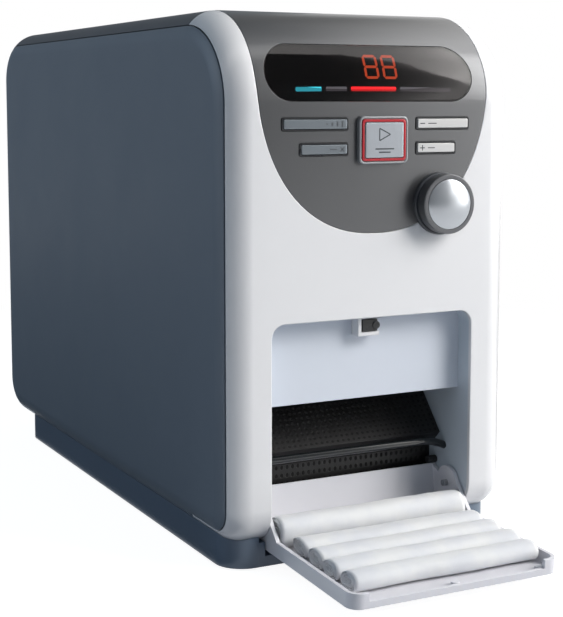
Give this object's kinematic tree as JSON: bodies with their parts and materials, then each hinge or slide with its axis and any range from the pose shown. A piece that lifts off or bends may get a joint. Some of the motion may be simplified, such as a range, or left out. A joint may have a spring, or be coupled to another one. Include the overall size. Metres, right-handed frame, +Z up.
{
  "type": "wet towel dispenser",
  "caption": "Counter-top machine that wets, rolls and drops towels from a roll into a flip-down tray, with a lid at the top and a control panel.",
  "frame": {"origin": "middle of the whole object's box at ground level, tray open", "axes": "+X to the right seen from the front, +Y to the back, +Z up"},
  "size_m": [0.2, 0.5468, 0.3365],
  "materials": {
    "plinth_plastic": "satin moulded",
    "slate_panel": "satin painted",
    "white_cover": "satin gloss white",
    "gunmetal_panel": "satin metallic paint",
    "rear_cover": "fine texture",
    "steel_pins": "turned",
    "smoked_window": "smoked acrylic",
    "led_orange": "lit segments",
    "black_plastic": "fine texture",
    "circuit_board": "solder mask",
    "bezel_grey": "satin metallic paint",
    "red_ring": "tinted",
    "button_silver": "silver paint",
    "button_white": "silver white paint",
    "knob_grey": "satin",
    "knob_silver": "spun, satin",
    "bay_grey": "satin moulded",
    "pale_plate": "fine texture",
    "chute_black": "punched sheet",
    "bar_black": "polished",
    "tray_plastic": "satin moulded",
    "rubber": "matt",
    "towel_cloth": "non-woven cotton",
    "frame_steel": "zinc plated",
    "gear_nylon": "moulded nylon",
    "brass_pinion": "cut",
    "spray_blue": "moulded",
    "tank_plastic": "frosted",
    "hose_clear": "silicone",
    "sink_aluminium": "extruded"
  },
  "bodies": {
    "housing": {"base_plinth": "plinth_plastic", "rubber_feet": "rubber", "left_side_panel": "slate_panel", "right_side_panel": "slate_panel", "front_cover": "white_cover", "control_panel": "gunmetal_panel", "back_cover": "rear_cover", "hinge_pins": "steel_pins", "cover_screws": "steel_pins", "display_window": "smoked_window", "display_leds": "led_orange", "display_carrier": "black_plastic", "control_board": "circuit_board", "start_bezel": "bezel_grey", "start_ring": "red_ring", "button_bezels": "black_plastic", "knob_base": "bezel_grey", "bay_liner": "bay_grey", "inner_plate": "pale_plate", "latch_bracket": "white_cover", "chute_plate": "chute_black", "guide_bar": "bar_black", "tray_bumpers": "rubber", "side_frames": "frame_steel", "feed_motor": "frame_steel", "cutter_bed": "frame_steel", "cutter_solenoids": "black_plastic", "spray_bar": "spray_blue", "water_tank": "tank_plastic", "water_pump": "black_plastic", "water_hoses": "hose_clear", "heat_sink": "sink_aluminium", "fan_frame": "black_plastic", "power_supply": "frame_steel", "mains_inlet": "black_plastic"},
    "tray_door": {"tray": "tray_plastic", "rolled_towels": "towel_cloth"},
    "lid": {"top_lid": "gunmetal_panel"},
    "latch": {"latch_plunger": "black_plastic"},
    "start": {"start_button": "button_silver"},
    "mode": {"mode_button": "button_silver"},
    "cancel": {"cancel_button": "button_silver"},
    "minus": {"minus_button": "button_white"},
    "plus": {"plus_button": "button_white"},
    "knob": {"knob_ring": "knob_grey", "knob_cap": "knob_silver"},
    "spool": {"supply_roll": "towel_cloth", "roll_spindle": "steel_pins"},
    "feed": {"feed_roller": "rubber", "feed_gear": "gear_nylon"},
    "pinch": {"pinch_roller": "frame_steel"},
    "pinion": {"motor_pinion": "brass_pinion"},
    "blade": {"cutter_blade": "frame_steel"},
    "release": {"release_arm": "frame_steel"},
    "wind_front": {"winding_roller_front": "rubber"},
    "wind_rear": {"winding_roller_rear": "rubber"},
    "wind_top": {"winding_roller_top": "rubber"},
    "fan": {"fan_rotor": "black_plastic"},
    "rocker": {"rocker_switch": "black_plastic"},
    "filler_cap": {"tank_cap": "black_plastic"}
  },
  "joints": [
    {"name": "tray_hinge", "type": "hinge", "parent": "housing", "child": "tray_door", "pos_m": [0, -0.15905, 0.033], "axis": [-1, 0, 0], "range_deg": [0, 92.4]},
    {"name": "lid_hinge", "type": "hinge", "parent": "housing", "child": "lid", "pos_m": [0, 0.27025, 0.29], "axis": [-1, 0, 0], "range_deg": [0, 95]},
    {"name": "latch_slide", "type": "slide", "parent": "housing", "child": "latch", "axis": [0, 1, 0], "range_m": [0, 0.003], "stiffness_N_per_m": 300},
    {"name": "start_press", "type": "slide", "parent": "housing", "child": "start", "axis": [0, 1, 0], "range_m": [0, 0.0008], "stiffness_N_per_m": 900},
    {"name": "mode_press", "type": "slide", "parent": "housing", "child": "mode", "axis": [0, 1, 0], "range_m": [0, 0.0008], "stiffness_N_per_m": 900},
    {"name": "cancel_press", "type": "slide", "parent": "housing", "child": "cancel", "axis": [0, 1, 0], "range_m": [0, 0.0008], "stiffness_N_per_m": 900},
    {"name": "minus_press", "type": "slide", "parent": "housing", "child": "minus", "axis": [0, 1, 0], "range_m": [0, 0.0008], "stiffness_N_per_m": 900},
    {"name": "plus_press", "type": "slide", "parent": "housing", "child": "plus", "axis": [0, 1, 0], "range_m": [0, 0.0008], "stiffness_N_per_m": 900},
    {"name": "knob_turn", "type": "hinge", "parent": "housing", "child": "knob", "pos_m": [0.0454, -0.18005, 0.2163], "axis": [0, 1, 0], "continuous": true},
    {"name": "spool_spin", "type": "hinge", "parent": "housing", "child": "spool", "pos_m": [0, 0.10995, 0.236], "axis": [1, 0, 0], "continuous": true},
    {"name": "feed_spin", "type": "hinge", "parent": "housing", "child": "feed", "pos_m": [0, 0.00195, 0.19], "axis": [1, 0, 0], "continuous": true},
    {"name": "pinch_spin", "type": "hinge", "parent": "housing", "child": "pinch", "pos_m": [0, 0.00195, 0.2113], "axis": [1, 0, 0], "continuous": true},
    {"name": "pinion_spin", "type": "hinge", "parent": "housing", "child": "pinion", "pos_m": [0, 0.0151, 0.16722], "axis": [1, 0, 0], "continuous": true},
    {"name": "cut_stroke", "type": "slide", "parent": "housing", "child": "blade", "axis": [0, 0, -1], "range_m": [0, 0.01], "stiffness_N_per_m": 400, "springref_m": -0.006},
    {"name": "release_swing", "type": "hinge", "parent": "housing", "child": "release", "pos_m": [0, -0.11355, 0.19], "axis": [-1, 0, 0], "range_deg": [0, 12], "stiffness_Nm_per_rad": 0.4},
    {"name": "wind_front_spin", "type": "hinge", "parent": "release", "child": "wind_front", "pos_m": [0, -0.11355, 0.1515], "axis": [1, 0, 0], "continuous": true},
    {"name": "wind_rear_spin", "type": "hinge", "parent": "housing", "child": "wind_rear", "pos_m": [0, -0.0848, 0.13659], "axis": [1, 0, 0], "continuous": true},
    {"name": "wind_top_spin", "type": "hinge", "parent": "housing", "child": "wind_top", "pos_m": [0, -0.0873, 0.16515], "axis": [1, 0, 0], "continuous": true},
    {"name": "fan_spin", "type": "hinge", "parent": "housing", "child": "fan", "pos_m": [-0.038, 0.26695, 0.084], "axis": [0, 1, 0], "continuous": true},
    {"name": "rocker_tilt", "type": "hinge", "parent": "housing", "child": "rocker", "pos_m": [0.042, 0.26195, 0.1075], "axis": [1, 0, 0], "range_deg": [0, 16]},
    {"name": "cap_turn", "type": "hinge", "parent": "housing", "child": "filler_cap", "pos_m": [0, 0.22595, 0.285], "axis": [0, 0, 1], "range_deg": [0, 90]}
  ],
  "couplings": [
    {"joint": "pinch_spin", "follows": "feed_spin", "ratio": -1.3333},
    {"joint": "pinion_spin", "follows": "feed_spin", "ratio": -3.3333},
    {"joint": "wind_top_spin", "follows": "wind_rear_spin", "ratio": 1},
    {"joint": "wind_front_spin", "follows": "wind_rear_spin", "ratio": 1}
  ]
}
